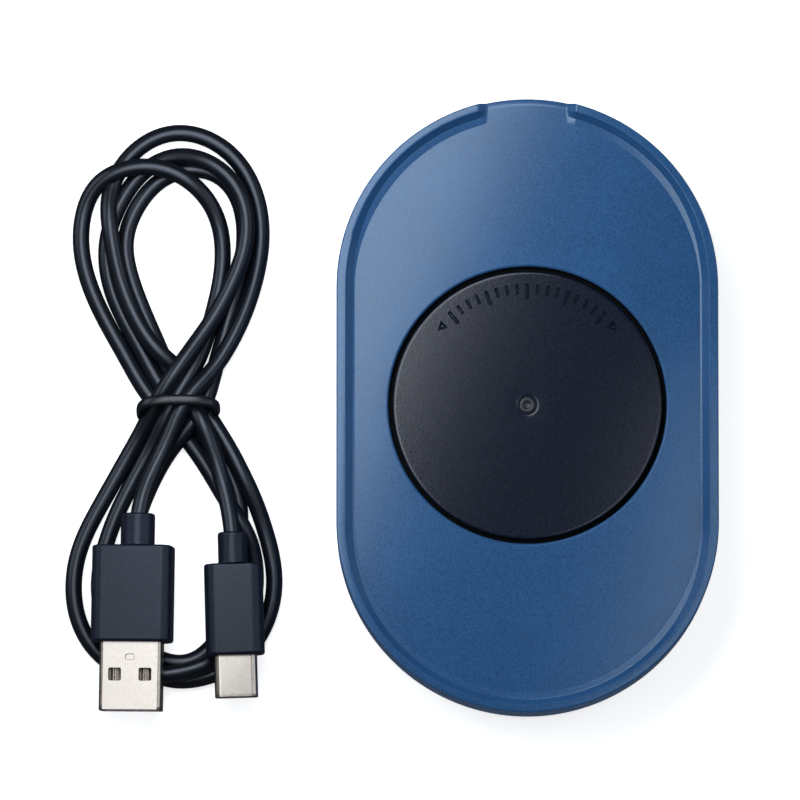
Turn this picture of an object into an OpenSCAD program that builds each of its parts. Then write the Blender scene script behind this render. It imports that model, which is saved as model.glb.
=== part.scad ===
// Mouse jiggler: a flat desk tray whose slowly turning disc moves the mouse
// that rests on it. Origin at the centre of the base, on the desk surface.
// +Z up, +Y towards the gap in the rim, +X to the right.

/* [Housing] */
// Overall length along Y
body_l = 120.5; // [110:0.5:140]
// Overall width along X
body_w = 74.6; // [74:0.2:80]
// Overall height from the desk to the top of the rim
body_h = 17; // [17:0.5:20]
// Thickness of the outer wall
wall_t = 2; // [1.8:0.1:2.2]
// Width of the flat top of the rim
rim_w = 1.6; // [1.2:0.1:2.2]
// How far the rim stands above the tray floor
rim_h = 2.2; // [1.5:0.1:3]
// Run of the sloped inner face of the rim
rim_slope = 1.3; // [0.8:0.1:2]
// Width of the gap in the rim at the tray floor
gap_w = 15.9; // [12:0.1:20]

/* [Disc] */
// Radius of the opening in the tray floor
hole_r = 27.2; // [26:0.1:28]
// Radius of the turning disc
disc_r = 26.3; // [25:0.1:27]
// Thickness of the disc
disc_t = 1.9; // [1.5:0.1:2]

/* [Gears] */
// Tooth module of every gear
gear_m = 0.6; // [0.6:0.1:0.6]
// Teeth on the gear under the disc
out_n = 50; // [50:1:50]
// Teeth on the large wheel of the second gear
two_n = 34; // [34:1:34]
// Teeth on the large wheel of the first gear
one_n = 30; // [30:1:30]
// Teeth on each pinion
pin_n = 10; // [10:1:10]
// Gap between meshing flanks
backlash = 0.16; // [0.12:0.01:0.2]

/* [Feet] */
// Radius of a rubber foot
foot_r = 5; // [4:0.5:6]
// Height of a rubber foot
foot_h = 1.4; // [1.2:0.1:1.6]

/* [Lead] */
// Diameter of the cable
lead_d = 3.2; // [3:0.1:3.4]
// Height of the bundled loops
hank_h = 6.6; // [6.4:0.1:7]

/* [Hidden] */
$fn = 96;
eps = 0.01;

half_r = body_w / 2;               // radius of the housing's round ends
arc_y = body_l / 2 - half_r;       // distance of the end arcs' centres from the middle
floor_z = body_h - rim_h;          // top of the tray floor
floor_t = 1.8;                     // thickness of the tray floor
well_z = floor_z - 2.8;            // top of the floor of the disc's well
well_t = 1.6;                      // thickness of the well's floor
well_or = hole_r + 1.4;            // outer radius of the well's wall
plate_z0 = 0.8;                    // underside of the base plate
plate_z1 = 2.6;                    // top of the base plate
disc_z1 = floor_z - 0.3;           // top of the disc
disc_z0 = disc_z1 - disc_t;        // underside of the disc
under_z = well_z - well_t;         // underside of the well's floor
case_screw_pos = [[27, 34], [-27, 34], [27, -34], [-27, -34]];
foot_pos = [[21, 40], [-21, 40], [21, -40], [-21, -40]];

// gear centres, each a true centre distance from the next
out_r = out_n * gear_m / 2;
two_r = two_n * gear_m / 2;
one_r = one_n * gear_m / 2;
pin_r = pin_n * gear_m / 2;
run = 0.06;                        // extra centre distance for a free mesh
a_two = -110;                      // direction from the disc's axis to the second gear
a_one = -65;                       // direction from the second gear to the first
a_mot = -90;                       // direction from the first gear to the motor
p_two = polar(out_r + pin_r + run, a_two);
p_one = p_two + polar(two_r + pin_r + run, a_one);
p_mot = p_one + polar(one_r + pin_r + run, a_mot);

// levels of the gear train
z_one = [3.3, 4.7];
z_one_pin = [4.7, 7.0];
z_two = [5.3, 6.7];
z_two_pin = [6.7, 8.9];
z_out = [7.2, 8.7];
z_mot_pin = [3.1, 4.8];

// electronics
pcb_z0 = 3.6;
pcb_z1 = 4.6;
switch_y = 18;
board_screw_pos = [[-17, 45], [17, 45], [24, 12]];

// lead: centres in millimetres in the same frame
loop_up = [-69.7, 35.5];           // centre of the upper loops' round end
loop_up_r = 19.2;
loop_lo = [-69.1, -34.3];          // centre of the lower loops' round end
loop_lo_r = 21.2;
waist_x = -68.4;
waist_w = 12.8;
plug_a = [-76.87, -20.8];          // middle of the wide plug, level with its boot's mouth
plug_a_turn = -0.9;
boot_a = 0.75;                     // the wide plug's boot stands this far to one side
plug_c = [-57.7, -24.45];          // where the cable enters the narrow plug's boot
plug_c_turn = 1.6;
plug_z = 8.8;                      // height of both plugs' axes
// route of the cable from the tie to each plug
route_a = [[-67.2, -0.6, 8.4], [-69.2, -4, 8.5], [-71.4, -8, 8.6], [-73.6, -12, 8.7], [-75.4, -16.4, 8.8], [-76.12, -20.8, 8.8]];
route_c = [[-63.7, -0.6, 8.4], [-62.5, -4, 8.5], [-61, -8, 8.6], [-59.6, -12, 8.7], [-58.4, -17, 8.8], [-57.7, -24.45, 8.8]];

function polar(r, a) = [r * cos(a), r * sin(a)];
function angle_of(v) = atan2(v[1], v[0]);
function lerp(a, b, t) = a + (b - a) * t;

// ---------- shared shapes ----------

// outline with straight sides and fully round ends, r from the long axis
module stadium(r) {
  for (s = [-1, 1]) translate([0, s * arc_y]) circle(r = r, $fn = 160);
  square([2 * r, 2 * arc_y], center = true);
}

module slab(r, z0, z1) {
  translate([0, 0, z0]) linear_extrude(z1 - z0) stadium(r);
}

// a profile in (distance from the long axis, z), carried round the outline
module sweep_round(pts) {
  for (s = [0, 180]) rotate([0, 0, s]) {
    translate([0, arc_y, 0]) rotate_extrude(angle = 180, $fn = 160) polygon(pts);
    rotate([90, 0, 0]) translate([0, 0, -arc_y]) linear_extrude(2 * arc_y) polygon(pts);
  }
}

module disc_at(p, r, z0, z1, fn = 64) {
  translate([p[0], p[1], z0]) cylinder(r = r, h = z1 - z0, $fn = fn);
}

module round_rect(w, h, r) {
  square([w - 2 * r, h], center = true);
  square([w, h - 2 * r], center = true);
  for (x = [-1, 1], y = [-1, 1]) translate([x * (w / 2 - r), y * (h / 2 - r)]) circle(r = r, $fn = 32);
}

// involute tooth flanks
function inv_deg(a) = (tan(a) - a * PI / 180) * 180 / PI;
function half_ang(n, m, rho) =
  let (r = n * m / 2, rb = r * cos(20), c = min(1, rb / max(rho, rb)))
  (PI * m / 2 - backlash) / (2 * r) * 180 / PI + inv_deg(20) - inv_deg(acos(c));
function tooth(n, m, ad, de, k) =
  let (r = n * m / 2, rb = r * cos(20), rf = r - de * m, ra = r + ad * m, rs = max(rf + 0.01, rb))
  concat(
    [[rf, -half_ang(n, m, rs) - 20 / n]],
    [for (i = [0:k]) let (rho = lerp(rs, ra, i / k)) [rho, -half_ang(n, m, rho)]],
    [for (i = [k:-1:0]) let (rho = lerp(rs, ra, i / k)) [rho, half_ang(n, m, rho)]],
    [[rf, half_ang(n, m, rs) + 20 / n]]);
function gear_points(n, m, turn, ad, de, k) =
  [for (i = [0:n - 1]) for (q = tooth(n, m, ad, de, k)) polar(q[0], turn + i * 360 / n + q[1])];

module toothed(p, n, z, turn, ad = 0.85, de = 1.15, k = 2) {
  translate([p[0], p[1], z[0]]) linear_extrude(z[1] - z[0])
    polygon(gear_points(n, gear_m, turn, ad, de, k));
}

// mesh phases: the followed wheel shows a tooth, the pinion a gap, on the line of centres
ph_out = a_two;
ph_two_pin = a_two + 180 + 180 / pin_n;
ph_two = a_one;
ph_one_pin = a_one + 180 + 180 / pin_n;
ph_one = a_mot;
ph_mot = a_mot + 180 + 180 / pin_n;

// ---------- housing ----------

module gap_cutter() {
  translate([0, 64, 0]) rotate([90, 0, 0]) linear_extrude(14)
    polygon([[-gap_w / 2, floor_z], [gap_w / 2, floor_z], [gap_w / 2 + 1.8, body_h + 0.5], [-gap_w / 2 - 1.8, body_h + 0.5]]);
  // eased outer edge of the gap's floor
  translate([0, arc_y, 0]) intersection() {
    rotate_extrude($fn = 160) polygon([[half_r + 0.5, floor_z + 0.5], [half_r - 1.2, floor_z + 0.01], [half_r - 0.35, floor_z - 0.4], [half_r + 0.5, floor_z - 1.6]]);
    translate([-gap_w / 2, 30, floor_z - 3]) cube([gap_w, 10, 6]);
  }
}

module top_housing() color([0.22, 0.37, 0.55]) difference() {
  union() {
    difference() {
      union() {
        slab(half_r, plate_z1, floor_z);
        sweep_round([[half_r - rim_w - rim_slope - 2, floor_z - 1], [half_r, floor_z - 1], [half_r, body_h - 0.35],
          [half_r - 0.35, body_h], [half_r - rim_w, body_h], [half_r - rim_w - rim_slope, floor_z]]);
      }
      slab(half_r - wall_t, plate_z1 - 1, floor_z - floor_t);
      disc_at([0, 0], hole_r, well_z, body_h, 160);
      // light chamfer round the disc opening
      translate([0, 0, floor_z - 0.3]) cylinder(r1 = hole_r, r2 = hole_r + 0.35, h = 0.35, $fn = 160);
    }
    // well wall and floor
    difference() {
      disc_at([0, 0], well_or, under_z, floor_z - floor_t + eps, 160);
      disc_at([0, 0], hole_r, well_z, floor_z, 160);
    }
    disc_at([0, 0], 5.4, under_z - 1.4, well_z);
    disc_at(p_two, 2.6, z_two_pin[1] + 0.25, well_z - 0.4);
    disc_at(p_one, 2.6, z_one_pin[1] + 0.3, floor_z - floor_t + eps);
    for (p = case_screw_pos) disc_at(p, 3, 4.4, floor_z - floor_t + eps);
    for (s = [-1, 1]) disc_at(p_mot + [s * 10, 0], 2.1, 6.0, floor_z - floor_t + eps);
  }
  gap_cutter();
  disc_at([0, 0], 3, 0, body_h);
  disc_at(p_two, 1, 0, 11.2, 32);
  disc_at(p_one, 1, 0, 10.4, 32);
  for (p = case_screw_pos) disc_at(p, 0.9, 4, 11.5, 32);
  for (s = [-1, 1]) disc_at(p_mot + [s * 10, 0], 0.8, 5, 11.5, 32);
  // mouth of the power socket
  translate([0, body_l / 2 + 1, pcb_z1 + 1.6]) rotate([90, 0, 0]) linear_extrude(4) round_rect(9.6, 3.8, 1.7);
  // finger pocket and slot of the switch
  translate([half_r + 0.01, switch_y, pcb_z1 + 1.8]) rotate([0, -90, 0]) linear_extrude(1.0) round_rect(4.6, 11, 2);
  translate([half_r + 1, switch_y, pcb_z1 + 1.8]) rotate([0, -90, 0]) linear_extrude(4) round_rect(2.6, 5.6, 0.5);
}

module base_plate() color([0.09, 0.1, 0.12]) difference() {
  union() {
    slab(half_r - 0.4, plate_z0, plate_z1);
    // locating lip just inside the wall
    difference() {
      slab(half_r - wall_t - 0.15, plate_z1 - eps, 3.5);
      slab(half_r - wall_t - 1.35, plate_z1 - 1, 4);
      // relief for the boards and bosses at the wall
      translate([half_r - 6, switch_y - 8, plate_z1]) cube([8, 16, 3]);
    }
    for (p = case_screw_pos) disc_at(p, 3.2, plate_z1 - eps, 4.4);
    for (p = board_screw_pos) disc_at(p, 2.2, plate_z1 - eps, pcb_z0);
    disc_at(p_two, 2.2, plate_z1 - eps, z_two[0] - 0.2);
    disc_at(p_one, 2.2, plate_z1 - eps, z_one[0] - 0.2);
    disc_at([0, 0], 3.2, plate_z1 - eps, 4.6);
  }
  for (p = foot_pos) disc_at(p, foot_r + 0.1, 0, foot_h);
  for (p = case_screw_pos) {
    disc_at(p, 1.15, 0, 5, 32);
    disc_at(p, 2.2, 0, 2.3, 32);
  }
  for (p = board_screw_pos) disc_at(p, 0.7, 1.6, 5, 32);
  disc_at(p_two, 1.05, 1.6, 6, 32);
  disc_at(p_one, 1.05, 1.6, 6, 32);
  disc_at([0, 0], 1.55, 1.6, 6, 32);
}

module rubber_feet() color([0.05, 0.05, 0.05])
  for (p = foot_pos) {
    disc_at(p, foot_r, 0.3, foot_h, 64);
    translate([p[0], p[1], 0]) cylinder(r1 = foot_r - 0.3, r2 = foot_r, h = 0.3 + eps, $fn = 64);
  }

module small_screw(p, z_head, head_r, head_h, shank_r, shank_l) {
  // head downwards, driven in from below
  translate([p[0], p[1], z_head]) difference() {
    union() {
      cylinder(r = head_r, h = head_h, $fn = 32);
      translate([0, 0, head_h - eps]) cylinder(r = shank_r, h = shank_l, $fn = 32);
    }
    for (a = [0, 90]) rotate([0, 0, a]) translate([-head_r * 0.55, -0.2, -eps]) cube([head_r * 1.1, 0.4, head_h * 0.5]);
  }
}

module case_screws() color([0.55, 0.56, 0.58])
  for (p = case_screw_pos) small_screw(p, 1.0, 2.0, 1.3, 0.9, 8.2);

// ---------- disc and its spindle ----------

module turntable_disc() color([0.13, 0.15, 0.18]) difference() {
  union() {
    disc_at([0, 0], disc_r, disc_z0, disc_z1 - 0.25, 160);
    translate([0, 0, disc_z1 - 0.25 - eps]) cylinder(r1 = disc_r, r2 = disc_r - 0.25, h = 0.25 + eps, $fn = 160);
    disc_at([0, 0], 4.5, disc_z0 - 0.2, disc_z0 + eps);
    // stiffening ring under the edge
    difference() {
      disc_at([0, 0], disc_r - 0.6, disc_z0 - 0.3, disc_z0 + eps, 160);
      disc_at([0, 0], disc_r - 1.8, disc_z0 - 1, disc_z0 + 1, 160);
    }
  }
  // groove round the centre cap, cap seat and the square drive hole
  difference() {
    disc_at([0, 0], 1.85, disc_z1 - 0.25, disc_z1 + 1, 64);
    disc_at([0, 0], 1.55, disc_z1 - 1, disc_z1 + 2, 64);
  }
  disc_at([0, 0], 1.55, disc_z1 - 1.3, disc_z1 + 1, 64);
  translate([-1.15, -1.15, 10]) cube([2.3, 2.3, 4]);
}

module disc_centre_cap() color([0.16, 0.18, 0.21]) translate([0, 0, disc_z1])
  rotate_extrude($fn = 64) polygon([[0, -0.5], [1.5, -0.5], [1.5, -0.02], [1.36, 0.1], [0.85, 0.1], [0.62, -0.12], [0, -0.16]]);

module disc_screw() color([0.6, 0.6, 0.62]) translate([0, 0, disc_z1 - 1.3]) {
  difference() {
    cylinder(r = 1.45, h = 0.7, $fn = 32);
    for (a = [0, 90]) rotate([0, 0, a]) translate([-0.8, -0.15, 0.4]) cube([1.6, 0.3, 1]);
  }
  translate([0, 0, -3]) cylinder(r = 0.7, h = 3 + eps, $fn = 32);
}

module disc_spindle() color([0.72, 0.73, 0.75]) difference() {
  union() {
    disc_at([0, 0], 1.47, 3.4, disc_z0 - 0.25);
    translate([-1.1, -1.1, disc_z0 - 0.25 - eps]) cube([2.2, 2.2, 0.8]);
  }
  // flat for the gear, groove for the clip, tapped hole for the screw
  translate([1.05, -2, 6.6]) cube([2, 4, 2.3]);
  difference() {
    disc_at([0, 0], 3, 6.1, 6.6);
    disc_at([0, 0], 1.1, 5, 8);
  }
  disc_at([0, 0], 0.7, 10.1, 14, 32);
}

module spindle_bush() color([0.72, 0.55, 0.3]) difference() {
  union() {
    disc_at([0, 0], 3, under_z - 1.4, well_z + eps);
    disc_at([0, 0], 4.2, well_z, well_z + 0.3);
  }
  disc_at([0, 0], 1.52, 5, 14);
}

module thrust_washer() color([0.92, 0.92, 0.9]) difference() {
  disc_at([0, 0], 3.6, well_z + 0.32, disc_z0 - 0.2);
  disc_at([0, 0], 1.6, 5, 14);
}

module output_gear() color([0.93, 0.92, 0.86]) difference() {
  union() {
    toothed([0, 0], out_n, z_out, ph_out, k = 2);
    disc_at([0, 0], 4, 6.7, z_out[1]);
  }
  difference() {
    disc_at([0, 0], 1.5, 5, 10);
    translate([1.07, -2, 5]) cube([2, 4, 5]);
  }
  // lightening recess between the hub and the rim
  difference() {
    disc_at([0, 0], 12.4, 5, z_out[0] + 0.5);
    disc_at([0, 0], 5, 4, 9);
  }
}

module spindle_clip() color([0.5, 0.51, 0.53]) difference() {
  disc_at([0, 0], 2.6, 6.12, 6.58);
  disc_at([0, 0], 1.1, 5, 8, 32);
  translate([0, -0.9, 5]) cube([4, 1.8, 3]);
}

// ---------- gear train ----------

module second_gear() color([0.93, 0.92, 0.86]) difference() {
  union() {
    toothed(p_two, two_n, z_two, ph_two);
    toothed(p_two, pin_n, [z_two_pin[0] - eps, z_two_pin[1]], ph_two_pin, k = 3);
  }
  disc_at(p_two, 1.05, 0, 20, 32);
}

module second_gear_axle() color([0.75, 0.76, 0.78]) disc_at(p_two, 1, 1.7, 11.1, 32);

module first_gear() color([0.93, 0.92, 0.86]) difference() {
  union() {
    toothed(p_one, one_n, z_one, ph_one);
    toothed(p_one, pin_n, [z_one_pin[0] - eps, z_one_pin[1]], ph_one_pin, k = 3);
  }
  disc_at(p_one, 1.05, 0, 20, 32);
}

module first_gear_axle() color([0.75, 0.76, 0.78]) disc_at(p_one, 1, 1.7, 10.3, 32);

// ---------- motor ----------

module motor_can() color([0.7, 0.71, 0.73]) difference() {
  disc_at(p_mot, 7.5, 6.0, 12.9, 96);
  disc_at(p_mot, 6.9, 5, 12.3, 96);
}

module motor_front_plate() color([0.66, 0.67, 0.69]) difference() {
  union() {
    disc_at(p_mot, 7.5, 5.4, 6.0 - eps, 96);
    for (s = [-1, 1]) disc_at(p_mot + [s * 10, 0], 2.3, 5.4, 6.0 - eps);
    translate([p_mot[0] - 10, p_mot[1] - 2.3, 5.4]) cube([20, 4.6, 0.6 - eps]);
  }
  for (s = [-1, 1]) disc_at(p_mot + [s * 10, 0], 1.1, 5, 7, 32);
  disc_at(p_mot, 2.2, 5, 7);
}

module motor_bearing() color([0.72, 0.55, 0.3]) difference() {
  disc_at(p_mot, 2.2, 5.0, 6.6);
  disc_at(p_mot, 0.8, 4, 8, 32);
}

module motor_shaft() color([0.8, 0.81, 0.83]) union() {
  disc_at(p_mot, 0.75, 2.9, 12.2, 32);
  disc_at(p_mot, 3.4, 7.4, 11.6);
}

module motor_pinion() color([0.78, 0.62, 0.32]) difference() {
  toothed(p_mot, pin_n, z_mot_pin, ph_mot, k = 3);
  disc_at(p_mot, 0.75, 2, 6, 32);
}

module motor_terminal_block() color([0.1, 0.1, 0.1])
  translate([p_mot[0] + 2, p_mot[1] + 7.35, 7.2]) cube([5.2, 2.2, 3.6]);

module motor_screws() color([0.55, 0.56, 0.58])
  for (s = [-1, 1]) small_screw(p_mot + [s * 10, 0], 4.6, 1.8, 0.8, 0.8, 5);

// flat ribbon on edge from the motor to the circuit board, under the rim of the well
flex_route = [p_mot + [7.3, 8.45], [8.5, -32.4], [30, 3], [32.6, 5.5], [32.6, 7.6]];
module motor_flex_lead() color([0.62, 0.4, 0.16]) translate([0, 0, 7.2]) linear_extrude(2.9) {
  for (i = [0:len(flex_route) - 2]) {
    v = flex_route[i + 1] - flex_route[i];
    translate(flex_route[i]) rotate([0, 0, angle_of(v)]) translate([0, -0.2]) square([norm(v), 0.4]);
  }
  for (i = [1:len(flex_route) - 2]) translate(flex_route[i]) circle(r = 0.2, $fn = 24);
}

// ---------- electronics ----------

module circuit_board() color([0.1, 0.35, 0.2]) difference() {
  translate([0, 0, pcb_z0]) linear_extrude(pcb_z1 - pcb_z0) intersection() {
    stadium(half_r - wall_t - 0.5);
    union() {
      translate([-21, 27]) square([60, 30]);
      translate([20.5, 8]) square([20, 30]);
    }
  }
  for (p = case_screw_pos) disc_at(p, 3.7, 0, 10);
  for (p = board_screw_pos) disc_at(p, 0.95, 0, 10, 32);
}

module board_screws() color([0.55, 0.56, 0.58])
  for (p = board_screw_pos) translate([0, 0, 0]) mirror([0, 0, 1]) translate([0, 0, -2 * pcb_z1])
    small_screw(p, pcb_z1 - 0.8, 1.6, 0.8, 0.7, 2.6);

module usb_socket_shell() color([0.78, 0.78, 0.8]) translate([0, 59.3, pcb_z1 + 1.6]) rotate([90, 0, 0]) difference() {
  linear_extrude(7.3) round_rect(8.94, 3.2, 1.55);
  translate([0, 0, -1]) linear_extrude(7.8) round_rect(8.34, 2.6, 1.25);
}

module usb_socket_tongue() color([0.08, 0.08, 0.09]) translate([0, 59.3, pcb_z1 + 1.6]) rotate([90, 0, 0]) {
  translate([0, 0, 1.2]) linear_extrude(5) square([6.7, 0.7], center = true);
  translate([0, 0, 6.0]) linear_extrude(0.8) round_rect(8.34, 2.6, 1.25);
}

module switch_body() color([0.75, 0.75, 0.77]) difference() {
  translate([half_r - 5.4, switch_y - 4.3, pcb_z1]) cube([3.4, 8.6, 3.6]);
  translate([half_r - 4.4, switch_y - 2.8, pcb_z1 + 0.9]) cube([4, 5.6, 1.8]);
}

module switch_slider() color([0.06, 0.06, 0.07]) {
  translate([half_r - 4.2, switch_y - 2.6, pcb_z1 + 1.0]) cube([2.0, 3.2, 1.6]);
  translate([half_r - 2.4, switch_y - 2.3, pcb_z1 + 1.05]) cube([1.6, 2.6, 1.5]);
  translate([half_r - 0.9, switch_y - 2.7, pcb_z1 + 0.4]) cube([0.3, 3.4, 2.8]);
  for (i = [0:2]) translate([half_r - 0.7, switch_y - 2.5 + i * 1.15, pcb_z1 + 0.5]) cube([0.55, 0.7, 2.6]);
}

module driver_chip() color([0.07, 0.07, 0.08]) {
  translate([-9, 40, pcb_z1 + 0.15]) cube([5, 4.4, 1.5]);
  for (s = [-1, 1], i = [0:3]) translate([-6.5 + s * 3 - 0.5, 40.55 + i * 1.05, pcb_z1]) cube([1, 0.4, 0.6]);
}

module board_capacitors() color([0.6, 0.5, 0.4]) {
  for (i = [0:2]) translate([4 + i * 3, 44, pcb_z1]) cube([1.2, 2, 1.1]);
  disc_at([8, 36], 2.5, pcb_z1, pcb_z1 + 5.4, 48);
}

module flex_connector() color([0.85, 0.83, 0.76])
  translate([31.2, 7.6, pcb_z1]) cube([2.8, 3.6, 6.0]);

// ---------- lead ----------

module plug_frame(p, turn) { translate([p[0], p[1], plug_z]) rotate([0, 0, turn]) rotate([90, 0, 0]) children(); }

module usb_a_overmould() color([0.17, 0.19, 0.23]) plug_frame(plug_a, plug_a_turn) difference() {
  union() {
    translate([boot_a, 0, 0.4]) cylinder(r = 3.3, h = 6.4, $fn = 64);
    translate([boot_a, 0, 0]) cylinder(r1 = 2.9, r2 = 3.3, h = 0.4, $fn = 64);
    translate([0, 0, 6.4]) linear_extrude(19.0) round_rect(15.8, 8, 2.2);
  }
  translate([0, 0, 20.4]) linear_extrude(6) square([12.02, 4.52], center = true);
}

module usb_a_shell() color([0.8, 0.79, 0.77]) plug_frame(plug_a, plug_a_turn) difference() {
  translate([0, 0, 20.4]) linear_extrude(18.2) round_rect(12, 4.5, 0.8);
  translate([0, 0, 20.9]) linear_extrude(19) round_rect(11.4, 3.9, 0.5);
  for (s = [-1, 1]) translate([s * 3 - 1.25, -5, 30.0]) cube([2.5, 10, 2.5]);
  translate([-0.5, 0, 27.9]) rotate([-90, 0, 0]) cylinder(r = 0.5, h = 5, $fn = 32);
  translate([0.4, 0, 27.9]) rotate([-90, 0, 0]) cylinder(r = 0.5, h = 5, $fn = 32);
  translate([-0.5, 0, 27.4]) cube([0.9, 5, 1]);
}

module usb_a_tongue() color([0.08, 0.08, 0.09]) plug_frame(plug_a, plug_a_turn) {
  translate([0, 0, 20.95]) linear_extrude(17.15) intersection() {
    round_rect(11.3, 3.8, 0.45);
    translate([-6, -2]) square([12, 2]);
  }
  translate([0, 0, 20.95]) linear_extrude(3) round_rect(11.3, 3.8, 0.45);
}

module usb_a_contacts() color([0.83, 0.67, 0.3]) plug_frame(plug_a, plug_a_turn)
  for (x = [-3.5, -1, 1, 3.5]) translate([x - 0.5, 0, 24.5]) cube([1, 0.21, 13.0]);

module usb_c_overmould() color([0.17, 0.19, 0.23]) plug_frame(plug_c, plug_c_turn) difference() {
  union() {
    translate([0, 0, 0.4]) cylinder(r = 2.9, h = 6.1, $fn = 64);
    cylinder(r1 = 2.5, r2 = 2.9, h = 0.4, $fn = 64);
    translate([0, 0, 6.2]) linear_extrude(18) round_rect(11.5, 6.4, 2.4);
  }
  translate([0, 0, 20.2]) linear_extrude(6) round_rect(8.27, 2.58, 1.25);
}

module usb_c_shell() color([0.8, 0.79, 0.77]) plug_frame(plug_c, plug_c_turn) difference() {
  translate([0, 0, 20.2]) linear_extrude(12.3) round_rect(8.25, 2.56, 1.25);
  translate([0, 0, 20.8]) linear_extrude(13) round_rect(7.65, 1.96, 0.95);
}

module usb_c_insert() color([0.06, 0.06, 0.07]) plug_frame(plug_c, plug_c_turn) difference() {
  translate([0, 0, 20.85]) linear_extrude(11.2) round_rect(7.6, 1.92, 0.93);
  translate([-3.3, -0.4, 25]) cube([6.6, 0.8, 10]);
}

// tangent point on circle c, r from the outside point p, on the side s
function tangent(c, r, p, s) =
  let (d = norm(p - c), a = acos(r / d), b = angle_of(p - c)) c + polar(r, b + s * a);

// round end joined to a straight neck by its two tangents
module loop_outline(c, r, y, w, up) {
  pl = [waist_x - w / 2, y];
  pr = [waist_x + w / 2, y];
  translate(c) circle(r = r, $fn = 128);
  polygon([pl, tangent(c, r, pl, up), c, tangent(c, r, pr, -up), pr]);
}

module loop_eye(c, r, y, up) {
  p = [waist_x, y];
  translate(c) circle(r = r, $fn = 96);
  polygon([p, tangent(c, r, p, up), c, tangent(c, r, p, -up)]);
}

module cable_upper_hank() color([0.12, 0.13, 0.17]) {
  difference() {
    linear_extrude(hank_h) loop_outline(loop_up, loop_up_r, 2, waist_w, -1);
    translate([0, 0, -1]) linear_extrude(hank_h + 2) loop_eye([-69, 33.8], 8, 15, -1);
  }
  // waist through the tie
  translate([waist_x - waist_w / 2, -3, 1.0]) cube([waist_w, 5 + eps, hank_h - 1.0]);
}

module cable_lower_hank() color([0.12, 0.13, 0.17]) difference() {
  union() {
    linear_extrude(4.6) loop_outline(loop_lo, loop_lo_r, -3, waist_w, 1);
    // the turns lie higher round the bottom of the loop, under the metal shells
    intersection() {
      linear_extrude(6.2) loop_outline(loop_lo, loop_lo_r, -3, waist_w, 1);
      translate([-100, -60, 0]) cube([60, 9.6, 7]);
    }
    // and again where they run up into the tie
    intersection() {
      linear_extrude(hank_h) loop_outline(loop_lo, loop_lo_r, -3, waist_w, 1);
      translate([-100, -9, 0]) cube([60, 6, 7]);
    }
  }
  translate([0, 0, -1]) linear_extrude(9) loop_eye([-69.1, -36], 12.4, -12, 1);
}

module cable_tie() color([0.08, 0.09, 0.11]) translate([waist_x, 0.4, 4.5]) rotate([90, 0, 0]) translate([0, 0, -1]) difference() {
  linear_extrude(2) round_rect(16.3, 9, 3.2);
  translate([0, 0, -1]) linear_extrude(4) round_rect(14.5, 7.2, 2.3);
}

// tube swept along a route: Catmull-Rom points, 8 sides
function at(p, i) = p[max(0, min(len(p) - 1, i))];
function spline(p, i, t) =
  let (a = at(p, i - 1), b = at(p, i), c = at(p, i + 1), d = at(p, i + 2))
  0.5 * (2 * b + (c - a) * t + (2 * a - 5 * b + 4 * c - d) * t * t + (3 * b - a - 3 * c + d) * t * t * t);
function samples(p, k) = concat([for (i = [0:len(p) - 2]) for (j = [0:k - 1]) spline(p, i, j / k)], [p[len(p) - 1]]);
function unit(v) = v / norm(v);
function ring(q, dir, r) =
  let (sx = unit(cross(dir, [0, 0, 1])), sz = cross(sx, dir))
  [for (a = [22.5:45:359]) q + r * (sx * cos(a) + sz * sin(a))];

module tube(route, r, k) {
  q = samples(route, k);
  n = len(q);
  last = n - 1;
  rings = [for (i = [0:last])
    let (dir = unit(i == last ? q[i] - q[i - 1] : i == 0 ? q[1] - q[0] : q[i + 1] - q[i - 1]))
    each ring(q[i], i == last ? [0, -1, 0] : dir, r)];
  faces = concat(
    [[for (j = [7:-1:0]) j]],
    [for (i = [0:last - 1], j = [0:7]) [i * 8 + j, i * 8 + (j + 1) % 8, (i + 1) * 8 + (j + 1) % 8, (i + 1) * 8 + j]],
    [[for (j = [0:7]) last * 8 + j]]);
  polyhedron(points = rings, faces = faces);
}

module cable_tail_a() color([0.12, 0.13, 0.17]) tube(route_a, lead_d / 2, 1);
module cable_tail_c() color([0.12, 0.13, 0.17]) tube(route_c, lead_d / 2, 1);

top_housing();
base_plate();
rubber_feet();
case_screws();
turntable_disc();
disc_centre_cap();
disc_screw();
disc_spindle();
spindle_bush();
thrust_washer();
output_gear();
spindle_clip();
second_gear();
second_gear_axle();
first_gear();
first_gear_axle();
motor_can();
motor_front_plate();
motor_bearing();
motor_shaft();
motor_pinion();
motor_terminal_block();
motor_screws();
motor_flex_lead();
circuit_board();
board_screws();
usb_socket_shell();
usb_socket_tongue();
switch_body();
switch_slider();
driver_chip();
board_capacitors();
flex_connector();
usb_a_overmould();
usb_a_shell();
usb_a_tongue();
usb_a_contacts();
usb_c_overmould();
usb_c_shell();
usb_c_insert();
cable_tie();
cable_upper_hank();
cable_lower_hank();
cable_tail_a();
cable_tail_c();
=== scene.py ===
"""Mouse jiggler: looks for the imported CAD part. Millimetres in the code, metres in Blender."""

import math

import bmesh
import bpy
import numpy as np
from mathutils import Matrix, Vector


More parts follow.
